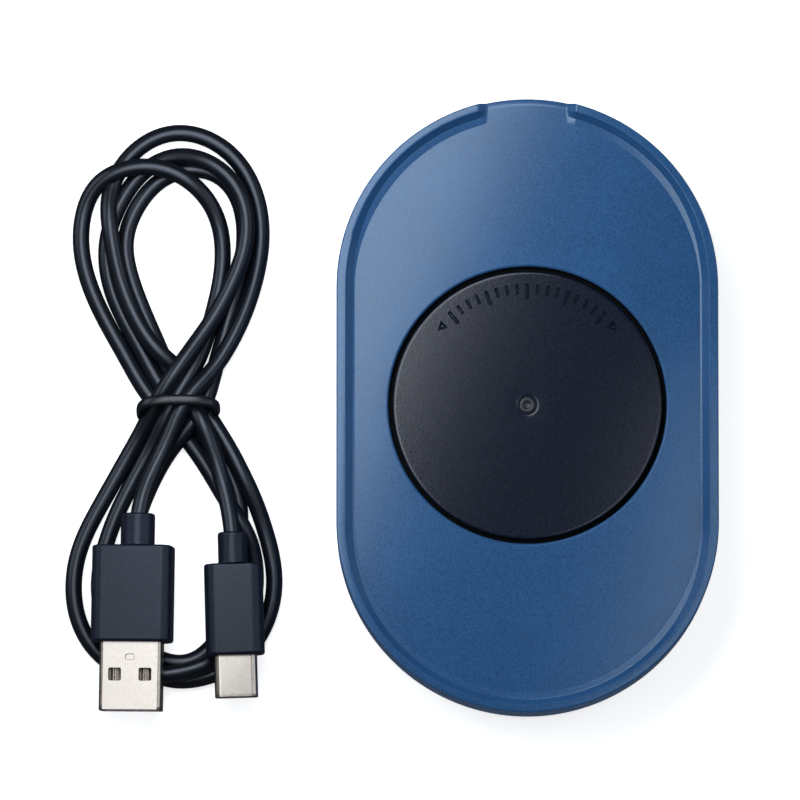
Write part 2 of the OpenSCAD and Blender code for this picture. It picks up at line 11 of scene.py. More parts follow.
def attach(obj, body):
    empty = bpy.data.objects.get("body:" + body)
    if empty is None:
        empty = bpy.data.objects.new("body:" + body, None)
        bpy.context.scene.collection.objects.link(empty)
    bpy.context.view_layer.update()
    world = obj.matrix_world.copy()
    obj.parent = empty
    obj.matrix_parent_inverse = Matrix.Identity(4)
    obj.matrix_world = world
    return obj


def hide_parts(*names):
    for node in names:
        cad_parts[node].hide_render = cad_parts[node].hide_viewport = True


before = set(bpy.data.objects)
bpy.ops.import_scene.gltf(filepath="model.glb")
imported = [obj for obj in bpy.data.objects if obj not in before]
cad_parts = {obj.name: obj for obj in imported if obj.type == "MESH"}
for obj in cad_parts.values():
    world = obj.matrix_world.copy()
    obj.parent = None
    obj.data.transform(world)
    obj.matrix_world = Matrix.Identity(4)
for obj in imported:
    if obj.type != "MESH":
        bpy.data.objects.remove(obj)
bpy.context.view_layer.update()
MM = 0.001

# ---------------------------------------------------------------- camera
# Nearly straight down from a tripod in front of the desk, long lens, as in a catalogue shot.
TILT = math.radians(5.5)
AIM = Vector((-24.88, 0.735, 17.0)) * MM
cam_data = bpy.data.cameras.new("camera")
cam_data.sensor_width = 36
cam_data.lens = 5.125 * 1900 * 36 / 800
cam_data.clip_start, cam_data.clip_end = 0.05, 50
cam = bpy.data.objects.new("camera", cam_data)
bpy.context.scene.collection.objects.link(cam)
cam.location = AIM + 1.9 * Vector((0, -math.sin(TILT), math.cos(TILT)))
cam.rotation_euler = (TILT, 0, 0)
bpy.context.scene.camera = cam

# ---------------------------------------------------------------- the cable's route
# One cable from the wide plug to the narrow one, through the tie eight times: listed points
# (x, y, z) in mm along its centreline, in order.
D_CABLE = 3.3
ROUTE = [
    (-76.15, -22.6, 8.8), (-76.12, -20.9, 8.8), (-76.1, -19.4, 8.8), (-75.9, -18.7, 8.8),
    (-75.2, -16.3, 8.7), (-73.5, -12, 8.6), (-71.6, -8.7, 8.6), (-69.4, -5.1, 8.6), (-67.2, -1.6, 8.4),
    (-65.2, 1.6, 7.7), (-61.6, 7.5, 6.4), (-58.3, 13.7, 5.2), (-56.7, 16.5, 4.9), (-53.7, 25.1, 4.2),
    (-52.4, 33.8, 2.6), (-53.1, 41.6, 1.6), (-55.2, 47.7, 1.6), (-58.3, 51.5, 1.6), (-62.8, 54.3, 1.6),
    (-68.5, 55.8, 1.6), (-74.2, 54.1, 1.6), (-78.2, 50.9, 1.6), (-80.6, 47.7, 1.8), (-81.6, 43.7, 2.6),
    (-82.2, 39, 3.8), (-81.9, 35.1, 4.6), (-81.1, 30.2, 4.8), (-79.2, 23.8, 4.8), (-76.3, 17.3, 4.8),
    (-73.1, 11.8, 4.8), (-70.5, 8.6, 4.6), (-67.7, 5.4, 3.4), (-65.5, 2.3, 2.7), (-61.2, -4.5, 1.9),
    (-58.5, -9.2, 3.6), (-56.8, -11.8, 4), (-53.6, -18.3, 3.8), (-51, -24.6, 1.8), (-50.1, -28, 1.6),
    (-49.4, -31.7, 1.6), (-49.2, -34.5, 1.6), (-49.4, -37.2, 1.6), (-50.4, -40.3, 1.6),
    (-52.4, -44.3, 1.6), (-55.9, -48.2, 1.6), (-61, -51.3, 1.6), (-65.5, -52.8, 1.6), (-70.5, -53, 1.6),
    (-74.7, -51, 1.6), (-78.3, -48, 1.6), (-81.4, -44.5, 1.6), (-83.6, -40.2, 1.6), (-84.3, -35.7, 1.6),
    (-84, -31.3, 1.6), (-83, -27, 1.6), (-81.7, -23, 1.6), (-79.7, -18.1, 1.6), (-76.8, -12.6, 1.6),
    (-74, -7.7, 2.2), (-71.6, -2.7, 3.6), (-69.6, 1.5, 5), (-65, 9.7, 4.2), (-62.8, 15, 2.6),
    (-61.1, 20.2, 1.7), (-60, 25.4, 1.6), (-59.6, 30.5, 1.6), (-59.8, 34.8, 2.4), (-61.1, 39.7, 4.4),
    (-63.5, 43, 6.4), (-66.5, 45.7, 7.4), (-70.1, 47.6, 7.2), (-73.1, 48.3, 6), (-75.2, 48.6, 5.2),
    (-79.1, 47.8, 4.8), (-82.6, 46, 4.8), (-84.9, 43.9, 3.6), (-87.1, 40.4, 1.8), (-88.1, 35.5, 1.6),
    (-87.5, 29.8, 1.6), (-85.8, 23.8, 1.6), (-82.6, 17.7, 1.6), (-78.8, 12.1, 1.6), (-75.4, 7.3, 1.9),
    (-71.7, 2.3, 2.7), (-65.8, -5.1, 1.7), (-63.2, -8.6, 1.6), (-61.5, -11.6, 1.6), (-59.5, -16.2, 2.6),
    (-57.4, -19.8, 4.6), (-55, -24, 3.6), (-53.4, -29.6, 1.7), (-53, -35.3, 1.6), (-53.9, -40.2, 1.6),
    (-56.5, -44.7, 1.8), (-59.8, -48.3, 3), (-63.5, -50.6, 4.2), (-67.4, -51.7, 4.4),
    (-71.3, -52.3, 4.6), (-75.2, -52.4, 4.8), (-79.3, -51.1, 4.4), (-83.3, -48.7, 2.6),
    (-86.7, -45.1, 1.6), (-88.6, -40.2, 1.6), (-89.2, -36.8, 1.6), (-88.4, -28, 1.6),
    (-84.4, -19.8, 1.6), (-80, -12.4, 1.6), (-76.7, -6.8, 3), (-74.3, -2.7, 5.4), (-71.9, 1.2, 7.6),
    (-68, 8.2, 6.8), (-64.6, 13.4, 6), (-60.4, 19.8, 5.2), (-56.9, 26.7, 4.8), (-55.2, 31.7, 4.8),
    (-54.8, 34.4, 4.8), (-54.9, 37.7, 4.8), (-55.5, 41.2, 4.8), (-57.1, 44.8, 4.8), (-59.9, 47.7, 4.8),
    (-63.3, 49.4, 4.6), (-67.3, 50.4, 4.2), (-71, 50.2, 3), (-74.2, 48.9, 1.8), (-77.2, 46.2, 1.6),
    (-80.1, 42.4, 1.6), (-81.9, 38.2, 1.6), (-82.6, 34.3, 1.6), (-82.8, 30.3, 1.6), (-81.7, 24, 1.6),
    (-79.4, 17.7, 1.6), (-76.2, 12.1, 1.6), (-72.7, 7.3, 1.9), (-68.7, 2.3, 2.7), (-64.2, -2.9, 1.7),
    (-60.3, -8.6, 1.6), (-58.1, -12.6, 1.6), (-56.3, -16.5, 1.6), (-55.7, -20.5, 1.6),
    (-56.3, -25.4, 1.6), (-56.3, -30.3, 1.6), (-56.3, -35.3, 1.6), (-57.1, -39.8, 1.6),
    (-58.8, -44.9, 1.6), (-61.8, -48.8, 1.6), (-66.1, -50.6, 1.6), (-70.6, -50.8, 1.6),
    (-74.5, -49.2, 1.6), (-77.5, -46.1, 1.6), (-78.9, -41.2, 1.6), (-79.5, -36.8, 1.6),
    (-79.1, -31.3, 1.6), (-77.9, -26.4, 1.6), (-76.6, -21.5, 1.6), (-75.2, -16.9, 1.6), (-73, -12, 1.8),
    (-70.1, -7.2, 2.8), (-66.1, -1.6, 4.4), (-64, 2.5, 4.9), (-61.7, 7.4, 2.8), (-60.4, 11.1, 1.7),
    (-59.3, 15.1, 1.6), (-58.4, 20, 1.6), (-57, 25, 1.6), (-55.7, 29.5, 1.6), (-55, 33.9, 1.6),
    (-55.1, 38.2, 1.6), (-56.3, 42.8, 1.6), (-58.2, 45.4, 1.6), (-60.1, 47.2, 1.6), (-62.3, 48.4, 1.6),
    (-64.7, 48.9, 1.6), (-68.3, 48.4, 1.6), (-71.6, 46.8, 1.6), (-74.2, 44.8, 1.6), (-76.7, 42.2, 1.6),
    (-78.8, 38.8, 1.6), (-79.7, 34.5, 1.6), (-79.3, 30.1, 1.6), (-77.5, 24, 1.6), (-75, 17.7, 1.6),
    (-72.1, 12.1, 1.6), (-69.6, 7.5, 1.9), (-66.7, 2.1, 5), (-64.6, -0.3, 6.6), (-63.1, -2.7, 7.8),
    (-61.9, -6.3, 8.5), (-60.6, -11.6, 8.6), (-58.7, -17.8, 8.8), (-58, -21.7, 8.8),
    (-57.74, -22.8, 8.8), (-57.7, -24.6, 8.8), (-57.66, -26.2, 8.8),
]


def through(points, step):
    """Catmull-Rom curve through the points, resampled at an even step."""
    P = np.array(points, float)
    out = []
    n = len(P)
    for i in range(n - 1):
        a, b, c, d = P[max(i - 1, 0)], P[i], P[i + 1], P[min(i + 2, n - 1)]
        for k in range(12):
            t = k / 12
            out.append(0.5 * (2 * b + (c - a) * t + (2 * a - 5 * b + 4 * c - d) * t * t
                              + (3 * b - a - 3 * c + d) * t ** 3))
    out.append(P[-1])
    return even(np.array(out), step)


def even(Q, step):
    s = np.r_[0, np.cumsum(np.linalg.norm(np.diff(Q, axis=0), axis=1))]
    t = np.linspace(0, s[-1], int(round(s[-1] / step)) + 1)
    return np.stack([np.interp(t, s, Q[:, k]) for k in range(3)], 1)


def lay_down(Q, d=D_CABLE, rounds=260, step=1.0):
    """The strands push each other apart where they cross, bend only so sharply, and sink to the desk."""
    Q = Q.copy()
    base = Q.copy()
    n = len(Q)
    idx = np.arange(n)
    apart = int(math.ceil(d * 2.2 / step))
    held = np.zeros(n, bool)
    held[:5] = True
    held[-5:] = True
    pairs = None
    for it in range(rounds):
        # the jacket gives a little where the tie squeezes it
        squeeze = np.exp(-((Q[:, 1] - 0.2) / 7.0) ** 2)
        rad = d / 2 * (1 - 0.13 * squeeze)
        if it % 6 == 0:
            diff = Q[:, None, :] - Q[None, :, :]
            close = (diff ** 2).sum(2) < (d + 1.6) ** 2
            close &= np.abs(idx[:, None] - idx[None, :]) > apart
            pairs = np.nonzero(close)
        i, j = pairs
        dd = Q[i] - Q[j]
        L = np.sqrt((dd ** 2).sum(1)) + 1e-9
        pen = rad[i] + rad[j] - L
        hit = pen > 0
        if hit.any():
            i, j, dd, pen = i[hit], j[hit], dd[hit], pen[hit]
            mv = np.zeros_like(Q)
            cnt = np.zeros(n)
            nz = dd.copy()
            vert = np.abs(dd[:, 2]) > 0.35 * np.linalg.norm(dd[:, :2], axis=1)
            nz[vert, :2] *= 0.5
            nz[~vert, 2] *= 0.3
            nrm = np.linalg.norm(nz, axis=1)[:, None] + 1e-9
            np.add.at(mv, i, nz / nrm * pen[:, None] * 0.5)
            np.add.at(cnt, i, 1)
            mv /= np.maximum(cnt, 1)[:, None]
            for _ in range(3):   # spread each push along the strand so that no kink forms
                mv[1:-1] = 0.25 * mv[:-2] + 0.5 * mv[1:-1] + 0.25 * mv[2:]
            Q += mv * 1.3
        for _ in range(3):
            lap = np.zeros_like(Q)
            lap[1:-1] = 0.5 * (Q[:-2] + Q[2:]) - Q[1:-1]
            l4 = np.zeros_like(Q)
            l4[2:-2] = 0.5 * (lap[1:-3] + lap[3:-1]) - lap[2:-2]
            Q -= l4 * 0.4
        pull = (0.02 * (1 - it / rounds) + 0.004) * (1 - 0.75 * squeeze)[:, None]
        Q[:, :2] += pull * (base[:, :2] - Q[:, :2])
        Q[:, 2] += 0.012 * (base[:, 2] - Q[:, 2]) * (1 - it / rounds)
        Q[:, 2] -= 0.012
        Q[:, 2] = np.maximum(Q[:, 2], d / 2)
        over = np.abs(Q[:, 1] - 1.4) < 1.5
        Q[over, 2] = np.minimum(Q[over, 2], 7.75)
        under = np.abs(Q[:, 1] + 1.0) < 1.5
        Q[under, 2] = np.maximum(Q[under, 2], 2.65)
        within = np.abs(Q[:, 1] - 0.2) < 2.2
        Q[within, 0] = np.clip(Q[within, 0], -74.2, -62.6)
        Q[held] = base[held]
    return Q


def softened(Q, passes):
    """Evens out what is left of any kink; the ends stay."""
    Q = Q.copy()
    for _ in range(passes):
        Q[2:-2] = 0.0625 * (Q[:-4] + Q[4:]) + 0.25 * (Q[1:-3] + Q[3:-1]) + 0.375 * Q[2:-2]
    return Q


CABLE = softened(lay_down(through(ROUTE, 1.0)), 14)
CABLE[:, 2] = np.maximum(CABLE[:, 2], D_CABLE / 2)


# ---------------------------------------------------------------- materials
def tree(name):
    m = bpy.data.materials.new(name)
    m.use_nodes = True
    nt = m.node_tree
    nt.nodes.clear()
    out = nt.nodes.new("ShaderNodeOutputMaterial")
    bsdf = nt.nodes.new("ShaderNodeBsdfPrincipled")
    nt.links.new(bsdf.outputs["BSDF"], out.inputs["Surface"])
    return m, nt, bsdf


def coords(nt, scale=1.0, stretch=(1, 1, 1)):
    tc = nt.nodes.new("ShaderNodeTexCoord")
    mp = nt.nodes.new("ShaderNodeMapping")
    mp.inputs["Scale"].default_value = [scale * s for s in stretch]
    nt.links.new(tc.outputs["Object"], mp.inputs["Vector"])
    return mp.outputs["Vector"]


def noise(nt, vec, scale, detail=2.0, rough=0.5):
    n = nt.nodes.new("ShaderNodeTexNoise")
    n.inputs["Scale"].default_value = scale
    n.inputs["Detail"].default_value = detail
    n.inputs["Roughness"].default_value = rough
    nt.links.new(vec, n.inputs["Vector"])
    return n.outputs["Fac"]


def bump(nt, bsdf, height, strength, distance, after=None):
    b = nt.nodes.new("ShaderNodeBump")
    b.inputs["Strength"].default_value = strength
    b.inputs["Distance"].default_value = distance
    nt.links.new(height, b.inputs["Height"])
    if after is not None:
        nt.links.new(after, b.inputs["Normal"])
    nt.links.new(b.outputs["Normal"], bsdf.inputs["Normal"])
    return b.outputs["Normal"]


def ramp(nt, fac, stops):
    r = nt.nodes.new("ShaderNodeValToRGB")
    el = r.color_ramp.elements
    while len(el) < len(stops):
        el.new(0.5)
    for e, (pos, col) in zip(el, stops):
        e.position = pos
        e.color = col if len(col) == 4 else (*col, 1)
    nt.links.new(fac, r.inputs["Fac"])
    return r.outputs["Color"]


def lin(r, g, b):
    """sRGB 0 to 255 as linear."""
    f = lambda c: (c / 255 / 12.92) if c / 255 <= 0.04045 else ((c / 255 + 0.055) / 1.055) ** 2.4
    return (f(r), f(g), f(b))


def moulded(name, rgb, rough, grain_scale, grain_depth, mottle=0.06, metallic=0.0, spec=0.5,
            coat=0.0, coat_rough=0.1, rough_var=0.05, detail=3.0, sheen=0.0,
            speckle=0.0, tint=None):
    """Moulded or painted surface: base colour with a faint mottle, a varied gloss and a fine grain."""
    m, nt, b = tree(name)
    base = lin(*rgb)
    vec = coords(nt)
    big = noise(nt, vec, 60, 2)
    lo = tuple(c * (1 - mottle) for c in base)
    hi = tuple(min(1, c * (1 + mottle)) for c in base)
    fine = noise(nt, vec, grain_scale, detail, 0.6)
    if speckle > 0:
        # the grain's tiny highlights, kept in the colour too
        amount = nt.nodes.new("ShaderNodeMath")
        amount.operation = "MULTIPLY_ADD"
        amount.inputs[1].default_value = 0.25
        nt.links.new(big, amount.inputs[0])
        nt.links.new(fine, amount.inputs[2])
        lo = tuple(c * (1 - mottle - speckle) for c in base)
        hi = tuple(min(1, c * (1 + mottle + speckle * 1.6)) for c in base)
        nt.links.new(ramp(nt, amount.outputs["Value"], [(0.46, lo), (0.78, hi)]), b.inputs["Base Color"])
    else:
        nt.links.new(ramp(nt, big, [(0.3, lo), (0.7, hi)]), b.inputs["Base Color"])
    if tint:
        b.inputs["Specular Tint"].default_value = (*tint, 1)
    r = nt.nodes.new("ShaderNodeMapRange")
    r.inputs["To Min"].default_value = max(0.02, rough - rough_var)
    r.inputs["To Max"].default_value = min(1, rough + rough_var)
    nt.links.new(fine, r.inputs["Value"])
    nt.links.new(r.outputs["Result"], b.inputs["Roughness"])
    b.inputs["Metallic"].default_value = metallic
    b.inputs["Specular IOR Level"].default_value = spec
    b.inputs["Coat Weight"].default_value = coat
    b.inputs["Coat Roughness"].default_value = coat_rough
    b.inputs["Sheen Weight"].default_value = sheen
    if grain_depth > 0:
        bump(nt, b, fine, 1.0, grain_depth * MM)
    return m


def brushed(name, rgb, rough, along=(1, 1, 1), depth=0.002, grain=1500):
    """Plated or machined metal with a faint drawn grain."""
    m, nt, b = tree(name)
    base = lin(*rgb)
    vec = coords(nt, 1.0, along)
    fine = noise(nt, vec, grain, 3, 0.6)
    big = noise(nt, coords(nt), 90, 2)
    nt.links.new(ramp(nt, big, [(0.3, tuple(c * 0.94 for c in base)), (0.7, base)]), b.inputs["Base Color"])
    r = nt.nodes.new("ShaderNodeMapRange")
    r.inputs["To Min"].default_value = max(0.03, rough - 0.06)
    r.inputs["To Max"].default_value = rough + 0.06
    nt.links.new(fine, r.inputs["Value"])
    nt.links.new(r.outputs["Result"], b.inputs["Roughness"])
    b.inputs["Metallic"].default_value = 1.0
    bump(nt, b, fine, 1.0, depth * MM)
    return m


def leather_grain(name, rgb, rough):
    """Spark-eroded leather texture on the disc: small irregular cells with soft valleys."""
    m, nt, b = tree(name)
    base = lin(*rgb)
    vec = coords(nt)
    v = nt.nodes.new("ShaderNodeTexVoronoi")
    v.feature = "SMOOTH_F1"
    v.inputs["Scale"].default_value = 3600
    v.inputs["Smoothness"].default_value = 0.6
    v.inputs["Randomness"].default_value = 1.0
    warp = nt.nodes.new("ShaderNodeTexNoise")
    warp.inputs["Scale"].default_value = 1400
    warp.inputs["Detail"].default_value = 2
    nt.links.new(vec, warp.inputs["Vector"])
    mix = nt.nodes.new("ShaderNodeVectorMath")
    mix.operation = "MULTIPLY_ADD"
    mix.inputs[1].default_value = (0.0003,) * 3
    nt.links.new(warp.outputs["Color"], mix.inputs[0])
    nt.links.new(vec, mix.inputs[2])
    nt.links.new(mix.outputs["Vector"], v.inputs["Vector"])
    fine = noise(nt, vec, 5200, 2, 0.5)
    h = nt.nodes.new("ShaderNodeMath")
    h.operation = "MULTIPLY_ADD"
    h.inputs[1].default_value = 0.35
    nt.links.new(fine, h.inputs[0])
    nt.links.new(v.outputs["Distance"], h.inputs[2])
    # painted shade and painted highlight: the colour is darker in the grain's low points and lighter on its raised
    # ones, read off the same field as the bump
    nt.links.new(ramp(nt, v.outputs["Distance"], [(0.15, tuple(c * 0.55 for c in base)),
                                                    (0.6, tuple(c * 1.5 for c in base))]),
                 b.inputs["Base Color"])
    r = nt.nodes.new("ShaderNodeMapRange")
    r.inputs["To Min"].default_value = rough - 0.06
    r.inputs["To Max"].default_value = rough + 0.08
    nt.links.new(fine, r.inputs["Value"])
    nt.links.new(r.outputs["Result"], b.inputs["Roughness"])
    b.inputs["Specular IOR Level"].default_value = 0.42
    bump(nt, b, h.outputs["Value"], 1.0, 0.008 * MM)
    return m


M = {}
M["housing"] = moulded("housing_blue", (45, 87, 133), 0.17, 3200, 0.008, 0.02, spec=0.5, speckle=0.16, tint=(0.86, 0.97, 1))
# painted shade: near-black colour for the well's inside, standing in for the shadow in the gap round the disc
M["well"] = moulded("well_painted_shade", (9, 10, 13), 0.75, 1500, 0.01, 0.05, spec=0.15)
M["base"] = moulded("base_black", (20, 22, 26), 0.45, 2200, 0.01, 0.05)
M["foot"] = moulded("foot_rubber", (22, 22, 23), 0.75, 1500, 0.012, 0.08, spec=0.3)
M["disc"] = leather_grain("disc_black", (14, 21, 37), 0.17)
M["nub"] = moulded("cap_black", (24, 27, 33), 0.38, 2400, 0.004, 0.04)
M["jacket"] = moulded("cable_jacket", (13, 16, 24), 0.34, 900, 0.003, 0.05, spec=0.58, rough_var=0.04, tint=(0.82, 0.88, 1))
M["overmould"] = moulded("overmould_black", (16, 21, 34), 0.36, 3000, 0.03, 0.08, spec=0.38, detail=3, speckle=0.7, tint=(0.8, 0.88, 1))
M["tie"] = moulded("tie_black", (16, 19, 27), 0.33, 1400, 0.003, 0.04, spec=0.5)
M["nickel"] = moulded("plug_nickel", (193, 182, 172), 0.24, 4600, 0.006, 0.02, metallic=1.0, detail=4, rough_var=0.06, speckle=0.06)
M["tongue"] = moulded("tongue_black", (16, 16, 18), 0.5, 1500, 0.003, 0.05)
M["gold"] = brushed("contact_gold", (214, 172, 92), 0.25, (1, 6, 1))
M["black"] = moulded("black_moulding", (18, 19, 21), 0.5, 1800, 0.008, 0.05)
M["steel"] = brushed("shaft_steel", (190, 192, 196), 0.28, (6, 6, 1))
M["screw"] = brushed("screw_steel", (150, 152, 156), 0.34)
M["bronze"] = brushed("bush_bronze", (182, 138, 84), 0.36)
M["gear"] = moulded("gear_white", (236, 233, 220), 0.4, 1200, 0.002, 0.02)
M["motor"] = brushed("motor_steel", (176, 178, 182), 0.3, (1, 1, 5))
M["pinion"] = brushed("pinion_brass", (200, 162, 88), 0.3)
M["flex"] = moulded("flex_amber", (168, 104, 34), 0.35, 900, 0.002, 0.06)
M["board"] = moulded("board_green", (22, 88, 52), 0.3, 700, 0.004, 0.08, coat=0.6, coat_rough=0.2)
M["cap"] = moulded("capacitor_can", (150, 128, 102), 0.35, 900, 0.002, 0.05)
M["cream"] = moulded("cream_moulding", (226, 220, 196), 0.45, 1200, 0.003, 0.02)

NODE_LOOKS = {
    "disc_screw": "screw", "disc_spindle": "steel", "spindle_bush": "bronze", "thrust_washer": "gear",
    "output_gear": "gear", "spindle_clip": "steel", "second_gear": "gear", "second_gear_axle": "steel",
    "first_gear": "gear", "first_gear_axle": "steel", "motor_can": "motor", "motor_front_plate": "motor",
    "motor_bearing": "bronze", "motor_shaft": "steel", "motor_pinion": "pinion",
    "motor_terminal_block": "black", "motor_screws": "screw", "motor_flex_lead": "flex",
    "circuit_board": "board", "board_screws": "screw", "usb_socket_shell": "nickel",
    "usb_socket_tongue": "black", "switch_body": "motor", "driver_chip": "black",
    "board_capacitors": "cap", "flex_connector": "cream", "usb_c_insert": "black", "case_screws": "screw",
}
for node_name, look in NODE_LOOKS.items():
    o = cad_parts[node_name]
    for k in range(len(o.material_slots)):
        o.material_slots[k].link = "OBJECT"
        o.material_slots[k].material = M[look]


# ---------------------------------------------------------------- mesh helpers
def build(name, verts, faces, mat, body, angle=32, slot=None, replaces=(), weighted=True):
    me = bpy.data.meshes.new(name)
    me.from_pydata([(x * MM, y * MM, z * MM) for x, y, z in verts], [], faces)
    bm = bmesh.new()
    bm.from_mesh(me)
    bmesh.ops.remove_doubles(bm, verts=bm.verts, dist=1e-6)
    bmesh.ops.dissolve_degenerate(bm, edges=bm.edges, dist=1e-7)
    bmesh.ops.recalc_face_normals(bm, faces=bm.faces)
    bm.to_mesh(me)
    bm.free()
    o = bpy.data.objects.new(name, me)
    bpy.context.scene.collection.objects.link(o)
    dress(o, mat, body, angle, slot, replaces, weighted)
    return o


def dress(o, mat, body, angle=32, slot=None, replaces=(), weighted=True):
    o.data.materials.clear()
    o.data.materials.append(mat)
    o.data.shade_smooth()
    if angle:
        o.data.set_sharp_from_angle(angle=math.radians(angle))
    if weighted:
        w = o.modifiers.new("even shading", "WEIGHTED_NORMAL")
        w.keep_sharp = True
        w.weight = 90
    if body:
        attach(o, body)
    if replaces:
        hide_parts(*replaces)


def scratch(name, verts, faces):
    """A helper solid for cutting, removed once used."""
    me = bpy.data.meshes.new(name)
    me.from_pydata([(x * MM, y * MM, z * MM) for x, y, z in verts], [], faces)
    bm = bmesh.new()
    bm.from_mesh(me)
    bmesh.ops.remove_doubles(bm, verts=bm.verts, dist=1e-7)
    bmesh.ops.recalc_face_normals(bm, faces=bm.faces)
    bm.to_mesh(me)
    bm.free()
    o = bpy.data.objects.new(name, me)
    bpy.context.scene.collection.objects.link(o)
    return o


def carve(o, cutter, op="DIFFERENCE"):
    """Boolean with the exact solver, applied to o's mesh."""
    mod = o.modifiers.new("cut", "BOOLEAN")
    mod.operation = op
    mod.solver = "EXACT"
    mod.object = cutter
    keep = [m for m in o.modifiers if m.type != "BOOLEAN"]
    for m in keep:
        m.show_viewport = False
    dg = bpy.context.evaluated_depsgraph_get()
    new = bpy.data.meshes.new_from_object(o.evaluated_get(dg))
    old = o.data
    o.modifiers.remove(mod)
    for m in keep:
        m.show_viewport = True
    o.data = new
    new.name = old.name
    bpy.data.meshes.remove(old)
    bpy.data.objects.remove(cutter)
    bm = bmesh.new()
    bm.from_mesh(o.data)
    bmesh.ops.remove_doubles(bm, verts=bm.verts, dist=2e-7)
    bmesh.ops.dissolve_degenerate(bm, edges=bm.edges, dist=2e-7)
    bm.to_mesh(o.data)
    bm.free()


def grid_faces(nu, nv, closed_u=True, closed_v=True, base=0):
    f = []
    for i in range(nu if closed_u else nu - 1):
        for j in range(nv if closed_v else nv - 1):
            a, b = i, (i + 1) % nu
            c, d = j, (j + 1) % nv
            f.append((base + a * nv + c, base + b * nv + c, base + b * nv + d, base + a * nv + d))
    return f


def lathe(profile, n=96, centre=(0, 0), closed=False):
    """Solid of revolution about Z. Profile points are (r, z); r 0 ends it at the axis."""
    verts, faces, rows = [], [], []
    for r, z in profile:
        if r < 1e-6:
            rows.append([len(verts)])
            verts.append((centre[0], centre[1], z))
        else:
            rows.append(list(range(len(verts), len(verts) + n)))
            verts += [(centre[0] + r * math.cos(2 * math.pi * k / n),
                       centre[1] + r * math.sin(2 * math.pi * k / n), z) for k in range(n)]
    pairs = list(zip(rows, rows[1:])) + ([(rows[-1], rows[0])] if closed else [])
    for a, b in pairs:
        for k in range(n):
            k2 = (k + 1) % n
            if len(a) == 1 and len(b) == 1:
                continue
            if len(a) == 1:
                faces.append((a[0], b[k], b[k2]))
            elif len(b) == 1:
                faces.append((a[k], a[k2], b[0]))
            else:
                faces.append((a[k], a[k2], b[k2], b[k]))
    return verts, faces


def joined(*parts):
    V, F = [], []
    for v, f in parts:
        n = len(V)
        V += v
        F += [tuple(i + n for i in q) for q in f]
    return V, F


def arc_pts(cx, cz, r, a0, a1, n):
    """n + 1 points on an arc, in degrees."""
    return [(cx + r * math.cos(math.radians(a0 + (a1 - a0) * k / n)),
             cz + r * math.sin(math.radians(a0 + (a1 - a0) * k / n))) for k in range(n + 1)]


def rrect(w, h, r, n=8):
    """Rounded rectangle, anticlockwise, starting on the right."""
    r = min(r, w / 2 - 1e-4, h / 2 - 1e-4)
    pts = []
    for cx, cy, a0 in ((w / 2 - r, h / 2 - r, 0), (-w / 2 + r, h / 2 - r, 90),
                       (-w / 2 + r, -h / 2 + r, 180), (w / 2 - r, -h / 2 + r, 270)):
        pts += arc_pts(cx, cy, r, a0, a0 + 90, n)
    return pts


def loft(sections, place, cap0=True, cap1=True):
    """Sections are lists of (u, w) with a station s each; place(u, w, s) gives the point."""
    n = len(sections[0][1])
    V = [place(u, w, s) for s, sec in sections for u, w in sec]
    F = grid_faces(len(sections), n, closed_u=False)
    if cap0:
        F.append(tuple(range(n))[::-1])
    if cap1:
        k = (len(sections) - 1) * n
        F.append(tuple(k + i for i in range(n)))
    return V, F


def smooth01(t):
    t = max(0.0, min(1.0, t))
    return t * t * (3 - 2 * t)


def mix(a, b, t):
    return a + (b - a) * t


# ---------------------------------------------------------------- the cable
def make_cable():
    cu = bpy.data.curves.new("usb_cable", "CURVE")
    cu.dimensions = "3D"
    cu.bevel_depth = D_CABLE / 2 * MM
    cu.bevel_resolution = 6
    cu.use_fill_caps = True
    sp = cu.splines.new("POLY")
    sp.points.add(len(CABLE) - 1)
    for p, q in zip(sp.points, CABLE):
        p.co = (q[0] * MM, q[1] * MM, q[2] * MM, 1)
    sp.use_smooth = True
    cu.materials.append(M["jacket"])
    o = bpy.data.objects.new("usb_cable", cu)
    bpy.context.scene.collection.objects.link(o)
    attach(o, "usb_lead")
    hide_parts("cable_upper_hank", "cable_lower_hank", "cable_tail_a", "cable_tail_c")
    return o


cable = make_cable()

# ---------------------------------------------------------------- the housing
HALF = 37.3
ARC_Y = 22.95
TOP = 17.0
FLOOR = 14.8
HOLE = 27.2
GAP = 7.95          # half the gap in the rim, at the floor
GAP_RUN = 1.5


def stations(fine=True):
    """(x, y, nx, ny, k) round the outline, anticlockwise from the middle of the right side.
    k runs from 0 on the straight sides to 1 round the ends."""
    out = []
    ys = np.linspace(0, ARC_Y, 24)
    for y in ys[:-1]:
        out.append((HALF, y, 1, 0, 0.0))
    a = [i * 1.5 for i in range(0, 121)]
    if fine:
        extra = [90 + s * math.degrees(math.asin(x / HALF)) for s in (-1, 1)
                 for x in np.arange(7.2, 10.6, 0.1)]
        a = sorted(set(a) | set(extra))
        a = [v for n, v in enumerate(a) if n == 0 or v - a[n - 1] > 0.05]
    for d in a:
        c, s = math.cos(math.radians(d)), math.sin(math.radians(d))
        k = smooth01(min(d, 180 - d) / 38)
        out.append((HALF * c, ARC_Y + HALF * s, c, s, k))
    for y in np.linspace(ARC_Y, -ARC_Y, 47)[1:-1]:
        out.append((-HALF, y, -1, 0, 0.0))
    for d in [180 + i * 1.5 for i in range(0, 121)]:
        c, s = math.cos(math.radians(d)), math.sin(math.radians(d))
        k = smooth01(min(d - 180, 360 - d) / 38)
        out.append((HALF * c, -ARC_Y + HALF * s, c, s, k))
    for y in np.linspace(-ARC_Y, 0, 24)[1:-1]:
        out.append((HALF, y, 1, 0, 0.0))
    return out


def gap_lift(x):
    """0 in the gap, 1 on the rim, a straight slope between with eased ends."""
    t = (abs(x) - GAP) / GAP_RUN
    b = 0.13
    if t < -b:
        return 0.0
    if t < b:
        return (t + b) ** 2 / (4 * b)
    if t < 1 - b:
        return t
    if t < 1 + b:
        return 1 - (1 + b - t) ** 2 / (4 * b)
    return 1.0


